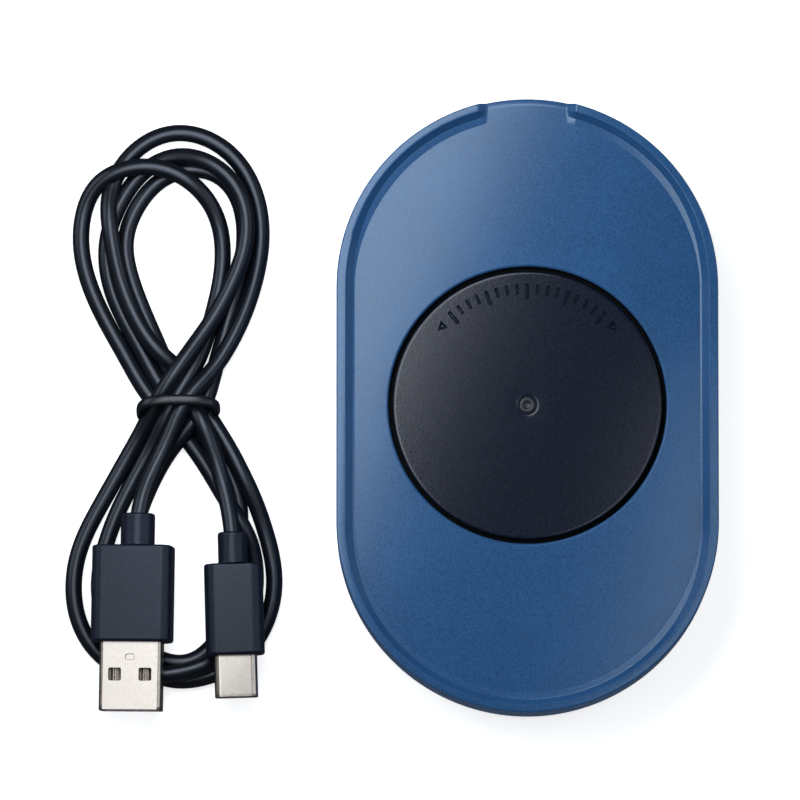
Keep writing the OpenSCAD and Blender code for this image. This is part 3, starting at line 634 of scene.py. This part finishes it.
def housing_mesh():
    V = []
    nv = None
    st = stations()
    for x, y, nx, ny, k in st:
        rw = mix(1.85, 1.6, k)
        sl = mix(1.25, 0.95, k)
        rr = mix(0.35, 1.35, k)       # run of the shallow ramp at the foot of the slope
        rh = mix(0.06, 0.24, k)       # its height
        foot = rw + sl
        # rim section: (inset, z on the rim, z in the gap)
        sec = [(0.22, 2.6, 2.6), (0.07, 2.67, 2.67), (0, 2.82, 2.82), (0, 6, 6), (0, 10, 10), (0, 13.2, 13.2),
               (0, 14.6, 13.7), (0, 15.8, 13.85), (0, 16.68, 13.95), (0.03, 16.81, 14.12), (0.09, 16.91, 14.33),
               (0.19, 16.98, 14.5), (0.32, 17.0, 14.63), (0.8, 17, 14.73), (1.15, 17, 14.79), (rw - 0.15, 17.0, 14.8),
               (rw - 0.07, 16.98, 14.8), (rw - 0.01, 16.92, 14.8), (rw + 0.02, 16.84, 14.8), (rw + 0.05, 16.6, 14.8)]
        # short upright step under the edge, then the slope down to the top of the ramp
        z0 = FLOOR + rh
        for t in (0.03, 0.35, 0.7, 0.97):
            sec.append((mix(rw + 0.05, foot - 0.04, t), mix(16.58, z0 + 0.26, t), 14.8))
        sec += [(foot, z0 + 0.2, 14.8), (foot + 0.03, z0 + 0.04, 14.8), (foot + 0.08, z0, 14.8)]
        for t in (0.08, 0.5, 0.92, 1.0):
            sec.append((foot + 0.08 + rr * t, FLOOR + rh * (1 - t), 14.8))
        sec.append((foot + 0.08 + rr + 0.05, FLOOR, 14.8))
        pts = []
        for ins, zr, zg in sec:
            px, py = x - nx * ins, y - ny * ins
            w = 1.0 if y < 40 else gap_lift(px)
            # nearer the rim than the outline's own station, so the gap's faces stay square to it
            pts.append((px, py, mix(zg, zr, w)))
        # floor to the hole
        px, py, _ = pts[-1]
        phi = math.atan2(y, x)
        hx, hy = math.cos(phi), math.sin(phi)
        e = (27.62 * hx, 27.62 * hy)
        for t in (0.33, 0.66):
            pts.append((mix(px, e[0], t), mix(py, e[1], t), FLOOR))
        for r, z in ((27.62, FLOOR), (27.56, 14.79), (27.5, 14.76), (27.3, 14.56), (27.24, 14.48), (27.2, 14.38),
                     (27.2, 14.3), (27.2, 13.4), (27.2, 12.35), (27.1, 12.1), (26.85, 12.0), (20, 12.0), (10, 12.0), (4.4, 12.0),
                     (3.02, 12.0), (3.02, 9.0), (5.4, 9.0), (5.4, 10.4), (15, 10.4), (28.6, 10.4), (28.6, 13.0)):
            pts.append((r * hx, r * hy, z))
        for ins, z in ((2.6, 13.0), (2.0, 12.6), (2.0, 8), (2.0, 2.6)):
            pts.append((x - nx * ins, y - ny * ins, z))
        nv = len(pts)
        V += pts
    return V, grid_faces(len(st), nv)


housing = build("housing_top", *housing_mesh(), M["housing"], None, weighted=False)


def y_cutter(cx, cz, secs, n=8):
    V, F = loft([(y, rrect(w, h, r, n)) for y, w, h, r in secs], lambda u, w, s: (cx + u, s, cz + w))
    return scratch("cutter", V, F)


def x_cutter(cy, cz, secs, n=8):
    V, F = loft([(x, rrect(w, h, r, n)) for x, w, h, r in secs], lambda u, w, s: (s, cy + u, cz + w))
    return scratch("cutter", V, F)


# power socket's mouth, its edge eased
carve(housing, y_cutter(0, 6.2, [(56.5, 9.6, 3.8, 1.88), (59.75, 9.6, 3.8, 1.88), (60.05, 9.8, 4.0, 1.98),
                                 (60.27, 10.4, 4.6, 2.28), (61.5, 12, 6.2, 3.0)]))
# finger pocket and slot of the switch
carve(housing, x_cutter(18, 6.4, [(36.3, 10.2, 3.8, 1.7), (36.42, 10.7, 4.3, 1.95), (36.7, 11.0, 4.6, 2.1),
                                  (37.05, 11.0, 4.6, 2.1), (37.22, 11.25, 4.85, 2.2), (37.5, 12.3, 5.9, 2.7)]))
carve(housing, x_cutter(18, 6.4, [(34, 5.6, 2.6, 0.5), (37, 5.6, 2.6, 0.5)]))
# bosses under the floor, seen only with the case open
boss = []
P_TWO, P_ONE, P_MOT = (-6.177, -16.971), (-0.573, -28.988), (-0.573, -41.048)


def tube_boss(c, ro, ri, z0, z1, ztop):
    return lathe([(0, ztop), (ro, ztop), (ro, z0 + 0.15), (ro - 0.15, z0), (ri, z0), (ri, z1), (0, z1)], 40, c)


dress(housing, M["housing"], "tray", 30, "housing_blue", ("top_housing",))
# the well round the disc is painted dull black inside: painted shade for the dark gap round the disc
housing.data.materials.append(M["well"])
for p in housing.data.polygons:
    r = math.hypot(p.center.x, p.center.y) / MM
    if r < 27.21 and p.center.z / MM < 14.36:
        p.material_index = 1

bosses = build("housing_bosses",
               *joined(*[tube_boss(c, 3.0, 0.9, 4.4, 11.5, 12.95) for c in ((27, 34), (-27, 34), (27, -34), (-27, -34))],
                       *[tube_boss((P_MOT[0] + s * 10, P_MOT[1]), 2.1, 0.8, 6.0, 11.5, 12.95) for s in (-1, 1)],
                       tube_boss(P_ONE, 2.6, 1.0, 7.3, 10.4, 11.9)),
               M["housing"], "tray", slot="housing_blue")

# ---------------------------------------------------------------- the base
def base_mesh():
    V = []
    st = stations(False)
    for x, y, nx, ny, k in st:
        sec = [(0.4, 2.6), (0.4, 1.35), (0.47, 1.1), (0.68, 0.9), (0.95, 0.82), (1.25, 0.8), (6, 0.8)]
        pts = [(x - nx * i, y - ny * i, z) for i, z in sec]
        V += pts
    n = len(sec)
    F = grid_faces(len(st), n, closed_v=False)
    F.append(tuple(i * n + n - 1 for i in range(len(st))))
    F.append(tuple(i * n for i in range(len(st)))[::-1])
    return V, F


base = build("base_cover", *base_mesh(), M["base"], None, weighted=False)
for c in ((21, 40), (-21, 40), (21, -40), (-21, -40)):
    carve(base, scratch("cutter", *lathe([(0, 0), (5.6, 0), (5.25, 0.8), (5.12, 0.95), (5.1, 1.4), (0, 1.4)], 64, c)))
for c in ((27, 34), (-27, 34), (27, -34), (-27, -34)):
    carve(base, scratch("cutter", *lathe([(0, 0), (2.7, 0), (2.42, 0.8), (2.2, 1.0), (2.2, 2.3), (1.15, 2.3), (1.15, 3), (0, 3)], 48, c)))
dress(base, M["base"], "tray", 30, "base_black", ("base_plate",))


def base_inside():
    """Locating lip, bosses and posts that stand on the base, inside the case."""
    parts = []
    st = stations(False)
    V = []
    for x, y, nx, ny, k in st:
        V += [(x - nx * i, y - ny * i, z) for i, z in ((2.15, 2.6), (2.15, 3.35), (2.3, 3.5), (3.2, 3.5), (3.35, 3.35), (3.35, 2.6))]
    parts.append((V, grid_faces(len(st), 6)))
    for c, ro, ri, zt in [((27, 34), 3.2, 1.15, 4.4), ((-27, 34), 3.2, 1.15, 4.4), ((27, -34), 3.2, 1.15, 4.4),
                          ((-27, -34), 3.2, 1.15, 4.4), ((-17, 45), 2.2, 0.7, 3.6), ((17, 45), 2.2, 0.7, 3.6),
                          ((24, 12), 2.2, 0.7, 3.6), (P_TWO, 2.2, 1.05, 5.1), (P_ONE, 2.2, 1.05, 3.1), ((0, 0), 3.2, 1.55, 4.6)]:
        parts.append(lathe([(ri, 2.61), (ro, 2.61), (ro, zt - 0.15), (ro - 0.15, zt), (ri + 0.1, zt), (ri, zt - 0.1)], 40, c, True))
    return joined(*parts)


build("base_posts", *base_inside(), M["base"], "tray", slot="base_black")


def foot(c):
    return lathe([(0, 0.12), (3.4, 0.12), (3.7, 0.0), (4.35, 0.0), (4.68, 0.08), (4.9, 0.25), (5.0, 0.5),
                  (5.0, 1.4), (0, 1.4)], 64, c)


build("rubber_pads", *joined(*[foot(c) for c in ((21, 40), (-21, 40), (21, -40), (-21, -40))]), M["foot"], "tray",
      slot="foot_rubber", replaces=("rubber_feet",))

# ---------------------------------------------------------------- the disc
disc = build("disc", *lathe(
    [(1.15, 12.4), (4.4, 12.4), (4.5, 12.5), (4.5, 12.6), (24.5, 12.6), (24.5, 12.3), (25.7, 12.3), (25.7, 12.6),
     (26.05, 12.6), (26.22, 12.67), (26.3, 12.85), (26.3, 14.12), (26.27, 14.26), (26.19, 14.38), (26.07, 14.46),
     (25.92, 14.5), (25.6, 14.5), (23.8, 14.5), (21.2, 14.5), (12, 14.5), (5, 14.5), (2.35, 14.5), (2.1, 14.49), (1.95, 14.45),
     (1.86, 14.37), (1.83, 14.25), (1.57, 14.25), (1.55, 14.2), (1.55, 13.2), (1.15, 13.2)], 240, closed=True),
    M["disc"], None, weighted=False)


def ticks():
    """Generic dial ticks pressed into the disc as grooves with sloping sides, an arrowhead at each end of their arc."""
    parts = []
    z0, z1 = 14.5 - 0.42, 14.9

    def turned(c, s):
        return lambda u, v, zz: (u * c - v * s, u * s + v * c, zz)

    for i in range(-8, 9):
        a = math.radians(90 - i * 5)
        long_one = i % 4 == 0
        r0, r1 = (20.9, 23.8) if long_one else (21.9, 23.8)
        w = 0.34 if long_one else 0.28
        sec = []
        for z, g in ((z0, 0.05 - w), (14.46, 0.0), (14.5, 0.05), (z1, 0.2)):
            sec.append((z, [(r0 - g, -w - g), (r1 + g, -w - g), (r1 + g, w + g), (r0 - g, w + g)]))
        parts.append(loft(sec, turned(math.cos(a), math.sin(a))))
    for side in (-1, 1):
        a = math.radians(90 - side * 45.6)
        sec = []
        for z, k in ((z0, 0.3), (14.46, 1.0), (14.5, 1.04), (z1, 1.15)):
            tri = [(22.7 - 1.0 * k, 0.5 - 0.5 * k), (22.7 + 1.0 * k, 0.5 - 0.5 * k), (22.7, 0.5 + 1.3 * k)]
            if side > 0:
                tri = [(u, -v) for u, v in tri][::-1]
            sec.append((z, tri))
        parts.append(loft(sec, turned(math.cos(a), math.sin(a))))
    return joined(*parts)


carve(disc, scratch("cutter", *ticks()))
dress(disc, M["disc"], "turntable", 30, "disc_black", ("turntable_disc",))
build("disc_cap", *lathe([(0, 14.0), (1.5, 14.0), (1.5, 14.5), (1.47, 14.55), (1.38, 14.595), (1.25, 14.6), (1.0, 14.6),
                          (0.85, 14.585), (0.74, 14.53), (0.66, 14.44), (0.55, 14.38), (0.3, 14.35), (0, 14.345)], 64),
      M["nub"], "turntable", slot="disc_black", replaces=("disc_centre_cap",))


# ---------------------------------------------------------------- the plugs
def plug_place(p, turn, roll=0.0):
    c, s = math.cos(math.radians(turn)), math.sin(math.radians(turn))
    rc, rs = math.cos(math.radians(roll)), math.sin(math.radians(roll))

    def place(u, w, d):
        x, y, z = u * rc - w * rs, -d, u * rs + w * rc
        return (p[0] + x * c - y * s, p[1] + x * s + y * c, 8.8 + z)
    return place


# the wide plug lies on the loops a little rolled, so that its right flank shows
PLACE_A = plug_place((-76.87, -20.8), -0.9, 7.0)
PLACE_C = plug_place((-57.7, -24.45), 1.6)


def circle_sec(r, n, u0=0.0):
    """Round section with the same number of points as rrect(n)."""
    return [(u + u0, w) for u, w in rrect(2 * r, 2 * r, r, n)]


def overmould(name, place, w, h, r, boot_r, boot_u, s0, s1, tongue_w, tongue_h, tongue_r, depth, body_nodes):
    n = 10

    def ring(rad):
        return circle_sec(rad, n, boot_u)

    secs = []
    # boot: rounded mouth round the cable, straight, blended foot
    secs.append((0.55, ring(1.5)))
    secs.append((0.25, ring(1.62)))
    secs.append((0.06, ring(1.9)))
    secs.append((0.0, ring(boot_r - 0.65)))
    for a in (20, 40, 60, 80):
        t = math.radians(a)
        secs.append((0.5 - 0.5 * math.cos(t), ring(boot_r - 0.5 + 0.5 * math.sin(t) - 0.02)))
    secs.append((0.7, ring(boot_r)))
    secs.append((s0 - 0.35, ring(boot_r)))
    secs.append((s0 - 0.08, ring(boot_r + 0.12)))
    secs.append((s0, ring(boot_r + 0.3)))
    # shoulder of the body, edges rounded
    f = 0.55
    secs.append((s0 + 0.01, rrect(w - 2 * f - 0.5, h - 2 * f - 0.2, max(0.4, r - f), n)))
    for a in (0, 22, 45, 67, 90):
        t = math.radians(a)
        g = f * (1 - math.sin(t))
        secs.append((s0 + f * (1 - math.cos(t)) + 0.02, rrect(w - 2 * g, h - 2 * g, r - g * 0.6, n)))
    L = s1 - s0
    for t in (0.25, 0.5, 0.75):
        secs.append((s0 + L * t, rrect(w, h, r, n)))
    g0 = 0.6
    for a in (90, 67, 45, 22, 0):
        t = math.radians(a)
        g = g0 * (1 - math.sin(t))
        secs.append((s1 - g0 * (1 - math.cos(t)), rrect(w - 2 * g, h - 2 * g, r - g * 0.6, n)))
    # front face and the pocket the shell sits in
    secs.append((s1, rrect(tongue_w + 0.5, tongue_h + 0.5, tongue_r + 0.25, n)))
    secs.append((s1 - 0.12, rrect(tongue_w + 0.1, tongue_h + 0.1, tongue_r + 0.05, n)))
    secs.append((s1 - depth, rrect(tongue_w + 0.02, tongue_h + 0.02, tongue_r, n)))
    V, F = loft(secs, place)
    return build(name, V, F, M["overmould"], "usb_lead", 34, "overmould_black", body_nodes)


over_a = overmould("wide_plug_grip", PLACE_A, 15.8, 8.0, 2.2, 3.35, 0.75, 6.3, 25.3, 12.3, 4.5, 0.85, 4.5, ("usb_a_overmould",))
over_c = overmould("narrow_plug_grip", PLACE_C, 11.5, 6.4, 2.4, 2.9, 0.0, 6.2, 24.2, 8.45, 2.56, 1.26, 4.0, ("usb_c_overmould",))


def tube_shell(name, place, w, h, r, t, s0, s1, lip):
    n = 8
    secs = [(s0, rrect(w, h, r, n)), (s0 + 2, rrect(w, h, r, n)), (mix(s0, s1, 0.5), rrect(w, h, r, n)),
            (s1 - 0.9, rrect(w, h, r, n)), (s1 - lip, rrect(w, h, r, n)),
            (s1 - lip * 0.45, rrect(w - lip * 0.25, h - lip * 0.25, r, n)),
            (s1 - 0.03, rrect(w - lip * 0.8, h - lip * 0.8, r, n)), (s1, rrect(w - lip * 1.1, h - lip * 1.1, r, n)),
            (s1 - 0.02, rrect(w - 2 * t + 0.1, h - 2 * t + 0.1, max(0.08, r - t + 0.05), n)),
            (s1 - 0.12, rrect(w - 2 * t, h - 2 * t, max(0.08, r - t), n)),
            (mix(s0, s1, 0.5), rrect(w - 2 * t, h - 2 * t, max(0.08, r - t), n)),
            (s0 + 0.5, rrect(w - 2 * t, h - 2 * t, max(0.08, r - t), n)),
            (s0 + 0.45, rrect(0.8, 0.4, 0.1, n))]
    return loft(secs, place)


shell_a = build("wide_plug_shell", *tube_shell("a", PLACE_A, 12.3, 4.5, 0.85, 0.3, 21, 38.7, 0.2), M["nickel"], None, weighted=False)


def plug_cutter(place, u, d0, d1, wdt, r, z0, z1, flare):
    """Rounded rectangular hole through a plug's face, its upper edge eased."""
    mid, ln = (d0 + d1) / 2, d1 - d0
    secs = [(z0, rrect(wdt, ln, r, 5)), (z1 - flare, rrect(wdt, ln, r, 5)), (z1, rrect(wdt + flare, ln + flare, r + flare / 2, 5)),
            (z1 + 0.3, rrect(wdt + 2 * flare, ln + 2 * flare, r + flare, 5))]
    V, F = loft(secs, lambda a, b, s: place(u + a, s, mid + b))
    return scratch("cutter", V, F)


for s in (-1, 1):
    carve(shell_a, plug_cutter(PLACE_A, 3 * s, 30.4, 32.9, 2.5, 0.36, 1.0, 2.25, 0.05))
    carve(shell_a, plug_cutter(PLACE_A, 3 * s, 30.4, 32.9, 2.5, 0.36, -3.0, -1.0, 0.0))
# pressed oval dimple
carve(shell_a, plug_cutter(PLACE_A, -0.05, 27.75, 28.75, 1.7, 0.42, 2.0, 2.25, 0.22))
dress(shell_a, M["nickel"], "usb_lead", 30, "plug_nickel", ("usb_a_shell",))
shell_c = build("narrow_plug_shell", *tube_shell("c", PLACE_C, 8.45, 2.56, 1.26, 0.3, 20.4, 32.5, 0.24), M["nickel"],
                "usb_lead", 30, "plug_nickel", ("usb_c_shell",))


def half_section(w, h, r, n=5):
    """Lower half of a rounded rectangle."""
    low = rrect(w, h, r, n)[2 * (n + 1):]
    return [(-w / 2, 0.0)] + low + [(w / 2, 0.0)]


tongue_a = build("wide_plug_tongue", *loft(
    [(21.5, half_section(11.6, 3.8, 0.5)), (37.8, half_section(11.6, 3.8, 0.5)), (38.02, half_section(11.4, 3.6, 0.45)),
     (38.1, half_section(11.1, 3.3, 0.4))], PLACE_A), M["tongue"], "usb_lead", 30, "tongue_black", ("usb_a_tongue",))


def contact(u):
    return loft([(24.5, [(u + a, b + 0.08) for a, b in rrect(1.0, 0.24, 0.05, 3)]),
                 (37.2, [(u + a, b + 0.08) for a, b in rrect(1.0, 0.24, 0.05, 3)]),
                 (37.5, [(u + a * 0.9, b * 0.8) for a, b in rrect(1.0, 0.24, 0.05, 3)])], PLACE_A)


contacts_a = build("wide_plug_contacts", *joined(*[contact(u) for u in (-3.5, -1, 1, 3.5)]), M["gold"], "usb_lead", 30,
                   "contact_gold", ("usb_a_contacts",))


def spring_leaf(u):
    """Ribbed strip under a window of the wide shell, as the insert's cover has."""
    xs = np.linspace(-1.9, 1.9, 39)
    top = [(u + x, 0.55 + 0.42 * math.exp(-((x - 0.45) / 0.3) ** 2) + 0.3 * math.exp(-((x + 0.45) / 0.26) ** 2)) for x in xs]
    low = [(x, w - 0.15) for x, w in top[::-1]]
    return loft([(s, top + low) for s in (26, 29.8, 30.2, 33.2, 33.6, 36.5)], PLACE_A)


leaves_a = build("wide_plug_leaves", *joined(*[spring_leaf(3 * s) for s in (-1, 1)]), M["nickel"], "usb_lead", 40, "plug_nickel")


# ---------------------------------------------------------------- the tie
def tie_mesh():
    """Soft band looped round the bundle: an oval ring that leans, its ends turned down."""
    n, m = 120, 20
    pts = []
    for i in range(n):
        t = 2 * math.pi * i / n
        c, s = math.cos(t), math.sin(t)
        e = 0.66
        x = 7.65 * math.copysign(abs(c) ** e, c)
        z = 5.15 + 4.5 * math.copysign(abs(s) ** e, s)
        down = 1 - z / 9.65
        y = 1.5 - (2.3 - 0.09 * x) * down - 0.55 * (abs(x) / 7.65) ** 4
        x -= 68.4
        pts.append(Vector((x, y, z)))
    V = []
    for i in range(n):
        t = (pts[(i + 1) % n] - pts[i - 1]).normalized()
        out = (pts[i] - Vector((-68.4, pts[i].y, 5.15)))
        out = (out - t * out.dot(t)).normalized()
        side = t.cross(out)
        for j in range(m):
            a = 2 * math.pi * j / m
            ca, sa = math.cos(a), math.sin(a)
            V.append(tuple(pts[i] + side * (1.05 * math.copysign(abs(ca) ** 0.85, ca)) + out * (0.6 * math.copysign(abs(sa) ** 0.9, sa))))
    return V, grid_faces(n, m)


tie = build("bundle_tie", *tie_mesh(), M["tie"], "usb_lead", 0, "tie_black", ("cable_tie",), weighted=False)

tuple(v * MM for v in CABLE[0])

# ---------------------------------------------------------------- switch slider
def bar(x0, x1, cy, cz, w, h, r, e):
    """Block along X with a rounded outer face."""
    secs = [(x0, rrect(w, h, r, 5)), (x1 - e, rrect(w, h, r, 5))]
    for a in (30, 60, 90):
        g = e * (1 - math.cos(math.radians(a)))
        secs.append((x1 - e + e * math.sin(math.radians(a)), rrect(w - 2 * g, h - 2 * g, max(0.03, r - g), 5)))
    return loft(secs, lambda u, v, s: (s, cy + u, cz + v))


knob = [bar(33.1, 35.1, 17.0, 6.4, 3.2, 1.6, 0.2, 0.12), bar(34.9, 36.5, 17.0, 6.4, 2.6, 1.5, 0.2, 0.1),
        bar(36.35, 36.72, 17.0, 6.4, 3.4, 2.8, 0.45, 0.1)]
knob += [bar(36.65, 37.15, 15.85 + i * 1.15, 6.4, 0.66, 2.55, 0.3, 0.26) for i in range(3)]
build("switch_knob", *joined(*knob), M["black"], "power_switch", 34, "black_moulding", ("switch_slider",))

# ---------------------------------------------------------------- floor and light
floor_me = bpy.data.meshes.new("floor")
floor_me.from_pydata([(-4, -4, 0), (4, -4, 0), (4, 4, 0), (-4, 4, 0)], [], [(0, 1, 2, 3)])
floor = bpy.data.objects.new("floor", floor_me)
bpy.context.scene.collection.objects.link(floor)
fm, fnt, fb = tree("floor_pale")
fb.inputs["Base Color"].default_value = (0.93, 0.93, 0.93, 1)
fb.inputs["Roughness"].default_value = 0.9
fb.inputs["Emission Color"].default_value = (1, 1, 1, 1)
fb.inputs["Emission Strength"].default_value = 0.75
fb.inputs["Specular IOR Level"].default_value = 0.0
floor_me.materials.append(fm)
floor.visible_glossy = False

world = bpy.data.worlds.new("studio")
bpy.context.scene.world = world
world.use_nodes = True
world.node_tree.nodes["Background"].inputs["Color"].default_value = (0.93, 0.96, 1, 1)
world.node_tree.nodes["Background"].inputs["Strength"].default_value = 0.05


def softbox(name, at, turn, size, radiance, colour=(1, 1, 1), look=None):
    """Rectangular softbox of a given brightness over the desk, seen in reflections but not by the camera itself."""
    l = bpy.data.lights.new(name, "AREA")
    l.shape = "RECTANGLE"
    l.size, l.size_y = size
    l.energy = radiance * math.pi * size[0] * size[1]
    l.color = colour
    o = bpy.data.objects.new(name, l)
    bpy.context.scene.collection.objects.link(o)
    o.location = at
    if look is None:
        o.rotation_euler = (0, 0, math.radians(turn))
    else:
        o.rotation_euler = (Vector(look) - Vector(at)).to_track_quat("-Z", "Y").to_euler()
    o.visible_camera = False
    return o


COOL = (0.86, 0.93, 1.0)
softbox("key", (-0.0655, 0.0835, 0.217), -22, (0.12, 0.19), 5.4, COOL)
softbox("key_low", (-0.122, -0.045, 0.217), -8, (0.11, 0.10), 2.0, COOL)
softbox("fill", (0.065, -0.027, 0.217), -12, (0.08, 0.095), 1.7, COOL)
softbox("side_left", (-0.75, 0.30, 0.42), 0, (0.5, 0.5), 1.9, COOL, look=(0, 0, 0))
softbox("side_right", (0.72, 0.15, 0.42), 0, (0.5, 0.5), 1.3, COOL, look=(0, 0, 0))
bpy.context.scene.view_settings.view_transform = "Standard"
bpy.context.scene.view_settings.look = "None"
bpy.context.scene.view_settings.exposure = 0.0
